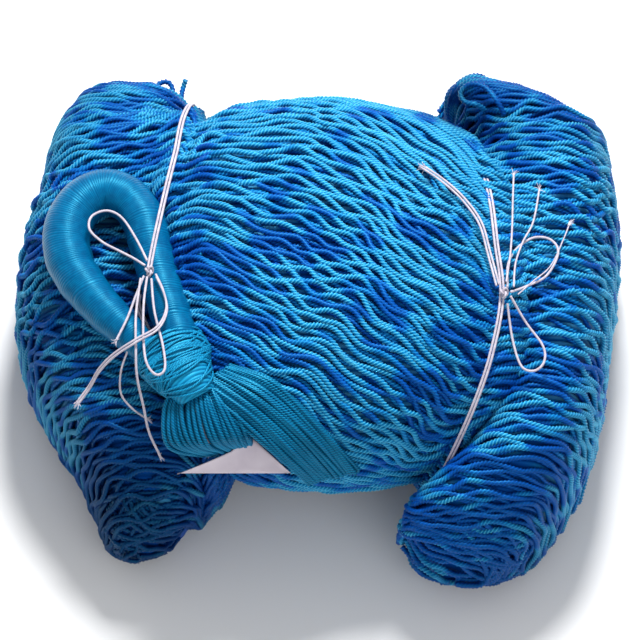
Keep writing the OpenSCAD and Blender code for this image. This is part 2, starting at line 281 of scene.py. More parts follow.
def twist_rings(path, up, radius, pitch, phase, groove):
    """Rings of a laid cord: each strand is a ridge that runs round in a helix.
    Returns the rings and how deep in a groove each vertex is, from 0 to 1."""
    turn = phase + FULL_TURN * lengths(path) / pitch
    angle = turn[:, None] + math.pi * np.arange(2 * STRANDS) / STRANDS
    in_groove = np.tile([0.0, 1.0], STRANDS)
    r = np.full((len(path), 1), float(radius)) * (1 - groove * in_groove)
    rings = rings_round(path, path_frames(path, up), r, r, angle)
    return rings, np.broadcast_to(in_groove, r.shape)


def put(piece, body, node):
    """Gives a piece its body and hides the CAD node that it stands for."""
    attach(piece, body)
    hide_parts(node)


# ---- Materials ----------------------------------------------------------------------

def linear(code):
    """Linear colour of a six-digit sRGB code."""
    parts = [int(code[i:i + 2], 16) / 255 for i in (0, 2, 4)]
    return tuple([c / 12.92 if c <= 0.04045 else ((c + 0.055) / 1.055) ** 2.4 for c in parts] + [1])


class Nodes:
    """Short calls for building a material's node tree."""

    def __init__(self, name):
        self.material = bpy.data.materials.new(name)
        self.material.use_nodes = True
        self.tree = self.material.node_tree
        self.shader = self.tree.nodes["Principled BSDF"]

    def node(self, kind, **settings):
        made = self.tree.nodes.new(kind)
        for key, value in settings.items():
            if key in made.inputs:
                made.inputs[key].default_value = value
            else:
                setattr(made, key, value)
        return made

    def link(self, source, target):
        self.tree.links.new(source, target)

    def attribute(self, name):
        return self.node("ShaderNodeAttribute", attribute_name=name).outputs["Fac"]

    def noise(self, scale, detail):
        made = self.node("ShaderNodeTexNoise", Scale=scale, Detail=detail)
        self.link(self.node("ShaderNodeTexCoord").outputs["Object"], made.inputs["Vector"])
        return made.outputs["Fac"]

    def ramp(self, source, stops):
        made = self.node("ShaderNodeValToRGB")
        band = made.color_ramp
        while len(band.elements) < len(stops):
            band.elements.new(0.5)
        for element, (at, colour) in zip(band.elements, stops):
            element.position = at
            element.color = colour
        self.link(source, made.inputs["Fac"])
        return made.outputs["Color"]

    def feed(self, value, socket):
        """Sets a socket to a value, or links another socket to it."""
        if isinstance(value, (int, float, tuple)):
            socket.default_value = value
        else:
            self.link(value, socket)

    def mix(self, amount, a, b):
        made = self.node("ShaderNodeMix", data_type="RGBA")
        for value, index in ((amount, 0), (a, 6), (b, 7)):
            self.feed(value, made.inputs[index])
        return made.outputs[2]

    def maths(self, operation, a, b):
        made = self.node("ShaderNodeMath", operation=operation)
        self.feed(a, made.inputs[0])
        self.feed(b, made.inputs[1])
        return made.outputs[0]

    def spread(self, source, reach, base):
        """A value that grows from base by up to reach, with source."""
        return self.maths("ADD", self.maths("MULTIPLY", source, reach), base)

    def crest_highlight(self, groove, narrow, strength):
        """Strong on the tops of the strands and nothing between them: the mask of a painted highlight."""
        top = self.maths("SUBTRACT", 1.0, self.maths("MULTIPLY", groove, narrow))
        return self.maths("MULTIPLY", top, strength)

    def two_tone(self, scale, detail, a, b, low=0.3, high=0.7):
        """A mottle between two colour codes."""
        return self.ramp(self.noise(scale, detail), [(low, linear(a)), (high, linear(b))])

    def bump(self, height, strength, distance):
        made = self.node("ShaderNodeBump", Strength=strength, Distance=distance)
        self.link(height, made.inputs["Height"])
        self.link(made.outputs["Normal"], self.shader.inputs["Normal"])

    def finish(self, colour, roughness, sheen=0.0, specular=0.5, glint=(1, 1, 1, 1)):
        self.link(colour, self.shader.inputs["Base Color"])
        self.feed(roughness, self.shader.inputs["Roughness"])
        self.shader.inputs["Sheen Weight"].default_value = sheen
        self.shader.inputs["Specular IOR Level"].default_value = specular
        self.shader.inputs["Specular Tint"].default_value = glint
        return self.material


# Colours of painted shade
SHADE_NAVY = linear("00154A")
SHADE_BLUE = linear("003C86")
# Tint of the gloss: the filaments throw back a pale cyan, never white
GLINT = (0.1, 0.78, 1.0, 1.0)


def laid_twine(name, dark=0.0):
    """Bright filament twine dyed in lengths of cyan and royal blue, with a painted highlight on the strand
    tops and painted shade in the grooves, low down and in hollows. tone runs from cyan to royal, groove
    marks the hollows between the strands."""
    n = Nodes(name)
    tone = n.attribute("tone")
    groove = n.attribute("groove")
    base = n.ramp(tone, [(0.0, linear("0098CE")), (0.3, linear("0085C4")), (0.55, linear("0066BC")),
                         (0.8, linear("0046B0")), (1.0, linear("003498"))])
    # Painted highlight: a pale cyan on the tops of the strands
    painted_highlight = n.ramp(tone, [(0.0, linear("74DEF8")), (0.45, linear("2CA8E6")), (1.0, linear("0F5CCC"))])
    base = n.mix(n.crest_highlight(groove, 1.9, 0.8), base, painted_highlight)
    base = n.mix(n.maths("MULTIPLY", n.noise(900, 3), 0.25), base, linear("006CB8"))
    # Painted shade in the grooves between the strands, then low down and in hollows
    base = n.mix(n.maths("MULTIPLY", groove, 0.7), base, SHADE_BLUE)
    base = n.mix(n.attribute("depth"), base, SHADE_NAVY)
    # A shaded copy gets more painted shade all over
    if dark:
        base = n.mix(dark, base, SHADE_BLUE)
    n.bump(n.noise(2600, 2), 0.25, 0.0004)
    rough = n.spread(n.noise(1500, 1), 0.18, 0.36)
    return n.finish(base, rough, specular=0.15 if dark else 0.6, glint=GLINT)


def whipping_thread(name):
    """Glossy thread wound tight in even turns."""
    n = Nodes(name)
    base = n.two_tone(260, 4, "005282", "006A9A")
    # Painted shade in the hollows between the turns, then low down and in hollows
    base = n.mix(n.maths("MULTIPLY", n.attribute("groove"), 0.6), base, linear("003462"))
    base = n.mix(n.attribute("depth"), base, SHADE_NAVY)
    n.bump(n.noise(3200, 2), 0.15, 0.0003)
    return n.finish(base, n.spread(n.noise(1200, 1), 0.15, 0.3), specular=0.6, glint=GLINT)


def arm_twine(name):
    """Fine cord of one teal blue."""
    n = Nodes(name)
    groove = n.attribute("groove")
    base = n.two_tone(120, 3, "00649A", "007EB4")
    # Painted highlight on the tops of the strands
    base = n.mix(n.crest_highlight(groove, 2.2, 0.6), base, linear("2CB4DE"))
    # Painted shade in the grooves, then low down and in hollows
    base = n.mix(n.maths("MULTIPLY", groove, 0.95), base, linear("002E56"))
    base = n.mix(n.attribute("depth"), base, SHADE_NAVY)
    n.bump(n.noise(3200, 2), 0.2, 0.0003)
    return n.finish(base, 0.38, specular=0.7, glint=GLINT)


def pale_string(name):
    """Soft off-white string with a faint pink cast."""
    n = Nodes(name)
    base = n.two_tone(420, 4, "BDB4C2", "DED8E2")
    # Painted shade in the grooves between the strands
    base = n.mix(n.maths("MULTIPLY", n.attribute("groove"), 0.45), base, linear("8F8290"))
    n.bump(n.noise(4200, 3), 0.35, 0.0003)
    return n.finish(base, 0.7, sheen=0.25, specular=0.3)


def tag_card(name):
    """Thin matt card, a little mottled."""
    n = Nodes(name)
    base = n.two_tone(90, 5, "C6BAC6", "DAD0D8", 0.25, 0.75)
    n.bump(n.noise(1800, 4), 0.12, 0.0002)
    return n.finish(base, 0.62, specular=0.35)


NET = laid_twine("net_twine")
# The layers under the outer cords use a copy with painted shade all over
NET_UNDER = laid_twine("net_twine_shaded", 0.6)
WHIPPING = whipping_thread("whipping_thread")
ARM = arm_twine("arm_cord")
PALE = pale_string("tie_string")
CARD = tag_card("tag_card")


# ---- Tie strings --------------------------------------------------------------------

# Length of one full twist of a string, for each millimetre of its diameter
STRING_PITCH = 2.1
STRING_GROOVE = 0.2
BAND_OFFSET = 0.72


def string_tubes(route, diameter, phase, closed=False, up=(0, 0.05, 1)):
    """A laid string along given points: its tubes and its centre line."""
    path = spline(route, 10, closed)
    if closed:
        path = np.concatenate([path, path[:1]])
    path = even(path, 0.4)[0]
    tubes = TubeSet()
    rings, groove = twist_rings(path, up, diameter / 2, STRING_PITCH * diameter, phase,
                                STRING_GROOVE)
    tubes.add(rings, groove=groove)
    return tubes, path


def fray(name, tip, heading, body, seed, size):
    """Loose filaments at a cut end."""
    rng = np.random.default_rng(seed)
    heading = unit(heading)
    angle = np.arange(5) * FULL_TURN / 5
    t = np.linspace(0, 1, 9)[:, None]
    taper = 0.26 * (1 - 0.6 * t)
    tubes = TubeSet()
    for _ in range(9):
        away = unit(heading + rng.normal(size=3) * 0.42)
        reach = size * rng.uniform(0.6, 1.1)
        start = tip - heading * 1.2 + rng.normal(size=3) * 0.18
        path = start + heading * reach * t + (away - heading) * reach * t**2
        rings = rings_round(path, path_frames(path, (0.3, 0.1, 1)), taper, taper, angle)
        tubes.add(rings, groove=np.zeros(rings.shape[:2]))
    piece = tubes.build(name, PALE)
    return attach(piece, body)


def free_string(name, node, route, body, diameter, far_end, seed):
    """A bow loop or tail that leaves a knot and hangs or lies free."""
    tubes, path = string_tubes(route, diameter, seed)
    piece = tubes.build(name, PALE)
    put(piece, body, node)
    if far_end == "bare":
        fray(name + "_fray", path[-1], path[-1] - path[-6], body, seed, 3.2 + diameter)


def shifted(route, offset):
    return [[a + b for a, b in zip(point, offset)] for point in route]


LEFT_LOOP_UPPER = [
    [-80, -4, 121.6], [-85.5, 0, 121.4], [-92, 4, 121], [-100, 9, 120.6], [-106, 16, 120],
    [-105, 23, 119.8], [-98, 26, 119.8], [-91, 22, 120.2], [-84.5, 11, 120.8], [-79, -2, 122.6],
]
LEFT_LOOP_LOWER = [
    [-79, -10, 121.6], [-80.5, -24, 121.4], [-80.5, -42, 121.6], [-79, -55, 121.6],
    [-74.5, -61, 121], [-70.5, -58, 121.2], [-71.5, -46, 121.6], [-75.5, -28, 121.6],
    [-77, -11, 121.6],
]
LEFT_TAIL_DOUBLE = [
    [-75, -9.5, 122], [-71.5, -18, 122], [-70, -28, 123], [-74, -38, 124], [-84, -44.5, 123.4],
    [-94, -48.5, 117], [-101, -51, 107], [-106, -55, 97], [-111, -60, 92],
]
LEFT_TAIL_SHORT = [[-80.5, -9, 120.6], [-84.5, -20, 120], [-88, -31, 120.4], [-93, -42, 119.4]]
LEFT_TAIL_THIN = [
    [-88, -48, 119], [-91, -55, 112], [-91, -61, 102], [-86, -65, 95], [-79, -69, 92],
]
LEFT_TAIL_LONG = [
    [-82, -11, 122], [-84, -30, 122.6], [-84, -46, 121], [-83.5, -58, 114], [-80.5, -68, 102],
    [-78, -76, 92], [-73, -84, 84],
]
RIGHT_LOOP_UPPER = [
    [88.5, -14, 119], [89, 0, 115], [93, 11, 110], [101, 18, 108], [109, 17, 108],
    [112.5, 10, 108], [107, -2, 108], [97, -9, 110], [90, -15.5, 117],
]
RIGHT_LOOP_LOWER = [
    [90, -18, 117.6], [97, -27, 109], [105, -38, 106], [105.5, -46, 105], [101, -50, 104],
    [95, -48, 104.6], [91, -36, 107.5], [88.5, -20.5, 115],
]
RIGHT_TAIL_DOUBLE = [
    [84, -14, 121], [80, 2, 123], [76, 17, 124.5], [68, 29, 126], [59, 37, 128.4], [50, 43, 130.4],
]
RIGHT_TAIL_UP = [
    [88, -12, 120.4], [90, 4, 118], [91, 20, 113.5], [91.5, 36, 111.5], [92, 50, 110.5],
]
RIGHT_TAIL_SIDE = [
    [91.5, -13, 117.6], [92.5, 2, 112.6], [96, 14, 111.2], [101, 26, 109], [104, 44, 107],
]
RIGHT_TAIL_THIN = [
    [93.5, -16, 115.6], [101, -6.5, 111.4], [109, 4, 106.4], [115, 18, 106], [118, 27, 105],
]

# Piece, CAD node, route, body, share of a full string's diameter, and far end
STRINGS = [
    ("left_bow_upper", "left_bow_loop_upper", LEFT_LOOP_UPPER, "eye", 1, "object"),
    ("left_bow_lower", "left_bow_loop_lower", LEFT_LOOP_LOWER, "left_bow", 1, "object"),
    ("left_tail_pair_a", "left_tail_double", shifted(LEFT_TAIL_DOUBLE, (0, 0.7, 0.1)),
     "left_bow", 0.9, "bare"),
    ("left_tail_pair_b", "left_tail_double", shifted(LEFT_TAIL_DOUBLE, (0.3, -0.7, 0)),
     "left_bow", 0.9, "bare"),
    ("left_tail_a", "left_tail_short", LEFT_TAIL_SHORT, "left_bow", 1, "bare"),
    ("left_tail_b", "left_tail_thin", LEFT_TAIL_THIN, "left_bow", 0.8, "bare"),
    ("left_tail_c", "left_tail_long", LEFT_TAIL_LONG, "left_bow", 1, "bare"),
    ("right_bow_upper", "right_bow_loop_upper", RIGHT_LOOP_UPPER, "right_bow_upper", 1, "object"),
    ("right_bow_lower", "right_bow_loop_lower", RIGHT_LOOP_LOWER, "right_bow_lower", 1, "object"),
    ("right_tail_pair_a", "right_tail_double", shifted(RIGHT_TAIL_DOUBLE, (0.6, 0.4, 0)),
     "right_bow_upper", 0.9, "bare"),
    ("right_tail_pair_b", "right_tail_double", shifted(RIGHT_TAIL_DOUBLE, (-0.6, -0.4, 0)),
     "right_bow_upper", 0.9, "bare"),
    ("right_tail_a", "right_tail_up", RIGHT_TAIL_UP, "right_bow_upper", 0.8, "bare"),
    ("right_tail_b", "right_tail_side", RIGHT_TAIL_SIDE, "right_bow_upper", 0.8, "bare"),
    ("right_tail_c", "right_tail_thin", RIGHT_TAIL_THIN, "right_bow_upper", 0.6, "bare"),
]
for number, (name, node, route, body, share, far_end) in enumerate(STRINGS, 1):
    free_string(name, node, route, body, STRING * share, far_end, number)


LEFT_BAND_TOP = [
    [-66, 63, 111], [-70, 41, 117], [-74.5, 16, 120.6], [-77, 2, 120.4], [-78, -5, 121],
]
LEFT_BAND_ROUND = [
    [-83, -10, 104], [-83, -14, 98.2], [-78, -26, 96.6], [-70, -42, 95.6], [-59, -60, 92],
    [-51, -75, 80], [-49, -79, 62], [-49, -79, 42], [-47, -71, 18], [-45, -50, 1.6],
    [-44, 0, 1.6], [-44.5, 50, 1.6], [-48, 80, 12], [-52.5, 97, 36], [-56, 103, 64],
    [-59, 98, 92], [-63, 84, 104], [-66, 63, 111],
]
RIGHT_BAND = [
    [86, -17, 116], [83.5, 10, 117.5], [81.5, 32, 114.5], [79, 50, 107], [76, 66, 96],
    [72.5, 79, 82], [65, 91, 62], [58, 97, 42], [54, 95, 24], [51, 78, 8], [50, 50, 1.6],
    [50, 0, 1.6], [50, -46, 1.6], [50, -66, 12], [50, -80, 30], [54, -86, 52], [63, -79, 76],
    [73, -64, 96], [81, -44, 109],
]


def tie_band(name, route, closed=False):
    """Two strings lying side by side."""
    tubes = TubeSet()
    for offset, phase in ((-BAND_OFFSET, 0.0), (BAND_OFFSET, 1.3)):
        strand = string_tubes(shifted(route, (offset, 0, 0)), STRING, phase, closed, (1, 0, 0.02))[0]
        tubes.add(strand.rings[0], **strand.values[0])
    return tubes.build(name, PALE)


def knot(name, node, centre, body):
    """The crossing turns of a bow's knot."""
    t = np.linspace(0, FULL_TURN, 90)
    path = np.stack([0.75 * (np.sin(t) + 2 * np.sin(2 * t)) * 0.8,
                     0.75 * (np.cos(t) - 2 * np.cos(2 * t)) * 1.15,
                     -1.3 * np.sin(3 * t)], -1) + np.array(centre)
    tubes = TubeSet()
    rings, groove = twist_rings(path, (0.1, 0.2, 1), STRING / 2, STRING_PITCH * STRING, 0, STRING_GROOVE)
    tubes.add(rings, groove=groove)
    put(tubes.build(name, PALE), body, node)


put(tie_band("left_tie_round", LEFT_BAND_ROUND), "bundle", "left_tie_band")
left_top = tie_band("left_tie_top", LEFT_BAND_TOP)
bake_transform(left_top)
put(tie_band("right_tie_round", RIGHT_BAND, True), "bundle", "right_tie_band")
knot("left_knot", "left_tie_knot", [-78, -6.7, 121], "eye")
knot("right_knot", "right_tie_knot", [87, -17, 119], "bundle")


# ---- Surfaces of the folded net -----------------------------------------------------

BELLY_STATIONS = [
    [0, 0.91, 0.81], [0.06, 0.955, 0.89], [0.18, 0.98, 0.955], [0.35, 1, 1], [0.6, 1, 1],
    [0.8, 0.965, 0.955], [0.93, 0.92, 0.87], [1, 0.87, 0.77],
]
BELLY_HALF_DEPTH = 97
BELLY_HALF_HEIGHT = 64
BELLY_MID_Y = 11
BELLY_MID_Z = 66
BELLY_LOW = 3
BELLY_SQUARENESS = 2.2
# Share of the wrap's width over which its cords turn in at each end
BELLY_TURN = 0.15
# How deep and how far out they turn, and what is added to each where they run on
TURN_DEPTH, RUN_ON_DEPTH = 17, -3
TURN_REACH, RUN_ON_REACH = 7, 8
FOLD_SQUARENESS = 2.6

LEFT_STATIONS = [
    [-108.5, -88, -82, 30, 24], [-106, -93, -79, 34, 20], [-102, -98, -71, 44, 12],
    [-96, -101, -63, 54, 4], [-87, -104, -54, 66, 0], [-74, -109, -50, 78, 0],
    [-60, -117, -51, 87, 0], [-40, -130, -56, 92, 0], [-18, -139, -62, 95, 0],
    [12, -142, -65, 96, 0], [46, -138, -64, 97, 0], [72, -131, -58, 97, 0],
    [96, -126, -54, 95, 0], [108, -120, -56, 91, 0], [116, -112, -64, 78, 4],
    [121, -100, -76, 54, 14], [123.5, -92, -84, 42, 26],
]
RIGHT_STATIONS = [
    [-121.5, 76, 66, 32, 26], [-119.5, 82, 57, 36, 22], [-116, 92, 48, 47, 14],
    [-110, 101, 41, 58, 5], [-103, 107, 38, 68, 0], [-93, 114, 41, 79, 0], [-84, 120, 54, 87, 0],
    [-70, 127, 69, 93, 0], [-45, 134, 80, 99, 0], [-15, 138, 84, 103, 0], [20, 142, 84, 104, 0],
    [50, 143, 82, 104, 0], [76, 140, 77, 103, 0], [100, 135, 61, 101, 0], [111, 127, 54, 97, 0],
    [117, 112, 58, 84, 4], [121, 94, 68, 62, 14], [123.5, 85, 77, 46, 28],
]
# Round the left neck, from low at the front over the top to low at the back
LEFT_NECK = [
    [-50, -62, 5], [-47, -76, 18], [-46, -83, 40], [-47, -83, 60], [-51, -75, 80], [-57, -57, 92],
    [-62, -30, 95], [-64, 0, 98], [-65, 25, 103], [-66, 45, 109], [-64, 63, 109], [-61, 84, 102],
    [-57, 97, 90], [-54, 101, 64], [-51, 95, 36], [-48, 80, 14], [-46, 60, 5],
]
RIGHT_NECK = [
    [50, -52, 5], [50, -66, 13], [51, -78, 30], [55, -83, 52], [63, -76, 73], [72, -62, 92],
    [80, -43, 105], [84, -17, 112], [82, 10, 113.5], [80, 32, 110.5], [78, 50, 102], [75, 66, 90],
    [71, 79, 75], [64, 89, 58], [57, 94, 40], [53, 92, 24], [50, 76, 9], [49, 56, 5],
]


def belly_left_x(y):
    return np.minimum(-43, -64 + 24 * ((y - 25) / 89) ** 2)


def belly_right_x(y):
    dent = 5 * np.exp(-((y - 55) / 25) ** 2)
    return 83 - 31 * (np.minimum(np.abs(y - 8), 100) / 92) ** 4 - dent


def carry_over(s, angle):
    """1 where the wrap's cords run on under a tie into the side fold, 0 where they turn in."""
    far_left = ease((angle - 0.35) / 0.3) * ease((1.38 - angle) / 0.25)
    right = ease((angle - 0.75) / 0.35) * ease((2.9 - angle) / 0.4)
    return np.where(s < 0.5, far_left, right)


def belly_point(s, angle, inset):
    """A point of the wrap: s runs from its left end to its right end, angle goes round it.
    Past either end the surface rolls over the shoulder and in towards the neck."""
    inside = np.clip(s, 0, 1)
    roll = np.clip(np.maximum(-s, s - 1) / BELLY_TURN, 0, 1) * math.pi / 2
    share = row_values(BELLY_STATIONS, inside)
    run_on = carry_over(s, angle)
    inset = inset + (TURN_DEPTH + RUN_ON_DEPTH * run_on) * (1 - np.cos(roll))
    half_depth = BELLY_HALF_DEPTH * share[..., 0] - inset
    half_height = BELLY_HALF_HEIGHT * share[..., 1] - inset
    y = BELLY_MID_Y + half_depth * signed_pow(np.cos(angle), 2 / BELLY_SQUARENESS)
    z = BELLY_MID_Z + half_height * signed_pow(np.sin(angle), 2 / BELLY_SQUARENESS)
    left = belly_left_x(y)
    reach = TURN_REACH + RUN_ON_REACH * run_on
    x = left + (belly_right_x(y) - left) * inside + np.sign(s - 0.5) * reach * np.sin(roll)
    return np.stack([x, y, np.maximum(z, BELLY_LOW + inset)], -1)


def drawn_in(x, y):
    """The far outer corner of the right fold is cut back at a slant."""
    return y - 0.3 * np.maximum(x - 74, 0) * ease((y - 88) / 26)


def fold_section(rows, y, inset):
    """A side fold's section at y: middle and half width across, middle and half height, which
    way its outer side faces, and its lowest point. One that rests on the floor is flat below."""
    outer, inner, high, low = np.moveaxis(row_values(rows, y), -1, 0)
    rest = np.where(low < 0.5, 3.0, 0.0)
    half_x = np.maximum(np.abs(outer - inner) / 2 - inset, 1.0)
    half_z = np.maximum((high - low) / 2 + rest - inset, 1.0)
    return (outer + inner) / 2, half_x, (high + low) / 2 - rest, half_z, np.sign(outer - inner), low


def fold_point(rows, y, angle, inset):
    """A point of a side fold: angle 0 faces out, 90 degrees up and 180 degrees in."""
    mid_x, half_x, mid_z, half_z, way, low = fold_section(rows, y, inset)
    x = mid_x + way * half_x * signed_pow(np.cos(angle), 2 / FOLD_SQUARENESS)
    z = mid_z + half_z * signed_pow(np.sin(angle), 2 / FOLD_SQUARENESS)
    return np.stack([x, drawn_in(x, y + 0 * angle), np.maximum(z, low + inset)], -1)


# ---- Flow of the cords over the surfaces --------------------------------------------

# Distance round the middle of the wrap at each angle, from under it
GIRTH_ANGLE = np.linspace(-math.pi / 2, 3 * math.pi / 2, 721)
GIRTH_AT = lengths(belly_point(np.full(721, 0.5), GIRTH_ANGLE, TWINE / 2))
GIRTH = GIRTH_AT[-1]
# How far each cord slides round the wrap on its way from left to right, and how late it does:
# rows of [place round the girth, from below and up the back, slide, lateness]
DRIFT = [
    [0, 0, 1.8], [50, 14, 2.2], [100, 42, 2.6], [150, 66, 2.6], [200, 78, 2.0], [250, 82, 1.4],
    [300, 80, 1.05], [350, 64, 0.85], [400, 36, 0.8], [450, 12, 0.9], [500, 0, 1.2], [560, 0, 1.5],
]
COAST = waves(3, 95)
RIPPLE = waves(4, 42)


def belly_lines(count, inset, start):
    """Lines over the wrap and their outward directions, as (lines, samples, 3) arrays."""
    place = ((np.arange(count) + start) / count * GIRTH)[:, None]
    s = np.linspace(-BELLY_TURN, 1 + BELLY_TURN, 210)[None]
    slide, late = np.moveaxis(row_values(DRIFT, place), -1, 0)
    inside = np.clip(s, 0, 1)
    at = place + slide * inside ** late
    probe = belly_point(s + 0 * place, np.interp(at % GIRTH, GIRTH_AT, GIRTH_ANGLE), inset)
    at = at + 2.0 * COAST(probe) + 0.5 * RIPPLE(probe)
    angle = np.interp(at % GIRTH, GIRTH_AT, GIRTH_ANGLE)
    s = s + 0 * place
    points = belly_point(s, angle, inset)
    across = belly_point(s, angle + 0.01, inset) - belly_point(s, angle - 0.01, inset)
    forward = belly_point(s + 0.004, angle, inset) - belly_point(s - 0.004, angle, inset)
    return points, unit(np.cross(forward, across))


# How a side fold's cords leave the neck, by their share of the way round it from the front:
# rows of [share, starting angle in degrees, haste along the roll, haste round the roll]
FAN = [
    [0, 215, 2.6, 2.2], [0.12, 195, 2.6, 2.0], [0.25, 165, 2.2, 1.7], [0.36, 140, 1.5, 1.25],
    [0.5, 128, 1.1, 1.0], [0.64, 130, 1.1, 1.0], [0.76, 150, 1.5, 1.2], [0.88, 180, 2.2, 1.6],
    [1, 210, 2.6, 2.0],
]
# Where round a fold its cords end, in degrees
FOLD_LAST_ANGLE = -118
# The cords of a fold start this deep inside the wrap, in this many samples
ROOT_DEPTH = 14.0
ROOT_SAMPLES = 22


def rooted(points, normal, root, way):
    """Cords carried back from the neck into the wrap, so that no cut end shows there."""
    inward = np.concatenate([-ROOT_DEPTH * way + 0 * root[..., :1],
                             -0.3 * root[..., 1:2], -0.25 * (root[..., 2:] - 60)], -1)
    back = np.linspace(1, 0, ROOT_SAMPLES, endpoint=False)[None, :, None]
    points = np.concatenate([root + inward * back, points], axis=1)
    normal = np.concatenate([np.repeat(normal[:, :1], ROOT_SAMPLES, 1), normal], axis=1)
    return smooth_rows(points.transpose(0, 2, 1), 9).transpose(0, 2, 1), normal


def fold_lines(rows, neck, count, inset, seed, start):
    """Lines that fan from the neck over a side fold and under it, with their outward directions."""
    share = (np.arange(count) + start) / count
    ring = spline(neck, 12)
    ring_at = lengths(ring) / lengths(ring)[-1]
    root = np.stack([np.interp(share, ring_at, c) for c in ring.T], -1)[:, None]
    first, last = rows[0][0] + inset, rows[-1][0] - inset
    y_probe = np.linspace(first, last, 400)
    rim = lengths(fold_point(rows, y_probe, np.full(400, 0.6), inset))
    rim_y = np.interp(share, rim / rim[-1], y_probe)[:, None]
    turn, haste_y, haste_angle = np.moveaxis(row_values(FAN, share), -1, 0)[..., None]
    a = np.linspace(0, 1, 300)[None]
    y = root[..., 1] + (rim_y - root[..., 1]) * (1 - (1 - a) ** haste_y)
    angle = np.radians(turn + (FOLD_LAST_ANGLE - turn) * a ** haste_angle)
    sway = waves(seed, 80)
    y = np.clip(y + 2.2 * sway(fold_point(rows, y, angle, inset)) * ease(a * 3), first, last)
    out = fold_point(rows, y, angle, inset)
    eps = 0.02
    round_it = fold_point(rows, y, angle + eps, inset) - fold_point(rows, y, angle - eps, inset)
    low, high = np.clip(y - 0.5, first, last), np.clip(y + 0.5, first, last)
    along = fold_point(rows, high, angle, inset) - fold_point(rows, low, angle, inset)
    normal = unit(np.cross(along, round_it))
    outward = np.sum(normal * (out - fold_point(rows, y, angle, inset + 2)), -1, keepdims=True)
    normal = normal * np.where(outward < 0, -1, 1)
    lead = ease(a / 0.16)[..., None]
    points = root * (1 - lead) + out * lead
    lift = unit(root - np.array([root[:, 0, 0].mean(), 0, 45]))
    normal = unit(lift * (1 - lead) + normal * lead)
    return rooted(points, normal, root, np.sign(rows[0][1]))


def end_lines(rows, front, count, tilt, inset):
    """Lines side by side over a side fold's blunt end, with their outward directions."""
    facing = -1.0 if front else 1.0
    end = rows[0][0] if front else rows[-1][0]
    y_table = end - facing * (inset + np.linspace(0, 26, 160))
    mid_x, half_x, mid_z, half_z = fold_section(rows, y_table, inset)[:4]
    # The section halfway along the table is the rim that the lines reach
    rim = len(y_table) // 2
    v = np.linspace(-0.95, 0.95, count)[:, None]
    t = np.linspace(-1, 1, 110)[None]
    u = t * np.sqrt(1 - v**2)
    v = v + 0.16 * (1 - t**2) * np.cos(3 * v)
    p = u * math.cos(tilt) - v * math.sin(tilt)
    q = u * math.sin(tilt) + v * math.cos(tilt)
    size = np.hypot(p, q)
    square = FOLD_SQUARENESS
    round_off = size / np.maximum((np.abs(p)**square + np.abs(q)**square) ** (1 / square), 1e-6)
    scale = np.where(size > 1, 1 / np.maximum(size, 1e-6), 1) * round_off
    x = mid_x[rim] + half_x[rim] * p * scale
    z = mid_z[rim] + half_z[rim] * q * scale
    inside = ((np.abs(x[..., None] - mid_x) / half_x) ** square
              + (np.abs(z[..., None] - mid_z) / half_z) ** square) <= 1
    y = y_table[np.argmax(inside, axis=-1)]
    y = np.where(inside.any(-1), y, y_table[rim])
    y = smooth_rows(y, 13)
    y = y - facing * 4.0 * ease((np.abs(t) - 0.72) / 0.28)
    points = np.stack([x, drawn_in(x, y), np.maximum(z, inset)], -1)
    outward = np.stack([0.6 * p, facing * (1.15 - 0.6 * size), 0.6 * q], -1)
    return points, unit(outward)


def next_line(points, cyclic):
    """Each line's neighbour. The last one's is the first if they go round, or else itself."""
    return np.roll(points, -1, axis=0) if cyclic else np.concatenate([points[1:], points[-1:]])


def weave(points, normals, openness, period, seed, cyclic=False):
    """Turns smooth lines into the zigzag of a net's meshes: neighbours meet, part and meet the
    next one, and where two lie closer than one cord they ride over and under each other."""
    count = len(points)
    rng = np.random.default_rng(seed)
    number = np.arange(count)[:, None, None]
    side = unit(np.cross(normals, unit(np.gradient(points, axis=1))))
    step = np.sum((next_line(points, cyclic) - points) * side, -1)
    side = side * (np.sign(np.median(step[:-1])) or 1.0)
    gap = np.abs(step)
    room = np.clip((gap + np.roll(gap, 1, axis=0)) / 2, 0.3 * TWINE, 3 * TWINE)
    burst = ease((waves(seed + 1, 60)(points) + 0.8 * waves(seed + 2, 17)(points) - 0.15) / 1.1)
    open_now = np.clip(openness + 0.85 * burst, 0.05, 1.05)
    jitter = waves(seed + 3, 30)(points) * 0.08 + rng.uniform(-0.06, 0.06, (count, 1))
    wave = np.sin(FULL_TURN * (lengths(points) / period + jitter) + waves(seed + 4, 90)(points) * 1.6)
    wave = np.arcsin(0.97 * wave) / math.asin(0.97)
    parity = np.where(np.arange(count) % 2, -1.0, 1.0)[:, None]
    sway = parity * wave * open_now * 0.46 * room
    sway = sway + 0.38 * TWINE * waves(seed + 5, 30)(points + number * 3)
    moved = points + smooth_rows(sway, 5)[..., None] * side
    gap = np.linalg.norm(next_line(moved, cyclic) - moved, axis=-1)
    if not cyclic:
        gap[-1] = 2 * TWINE
    need = np.sqrt(np.clip(TWINE**2 - gap**2, 0, None))
    need = np.maximum(need, np.roll(need, 1, axis=0))
    order = np.tanh(2.2 * waves(seed + 6, 34)(points))
    lift = 0.5 * need * parity * np.where(np.abs(order) < 0.25, 0.25, order)
    lift = lift + 0.3 * waves(seed + 7, 26)(points + number * 5)
    return moved + smooth_rows(lift, 9)[..., None] * normals


# ---- Colour of the cords ------------------------------------------------------------

# Where the dye runs royal (positive) or cyan (negative): [x, y, reach, weight]. The royal patches on the
# two front lobes and at the back ends of both folds are painted shade.
DYE_AND_SHADE = [
    [-20, 80, 60, -0.35], [45, 62, 45, -0.3], [-45, -5, 24, 0.3], [-8, -12, 24, 0.22],
    [30, 24, 22, 0.2], [62, -50, 28, 0.1], [64, 50, 30, -0.6], [-100, 75, 40, -0.05],
    [-85, 110, 30, 0.4], [-118, 10, 34, 0.3], [-85, -95, 42, 0.85], [85, -105, 42, 0.55],
    [98, 104, 44, 0.65], [118, 20, 42, -0.35], [10, -60, 34, -0.25],
]
DYE_WIDE = waves(21, 46)
DYE_FINE = waves(22, 17)


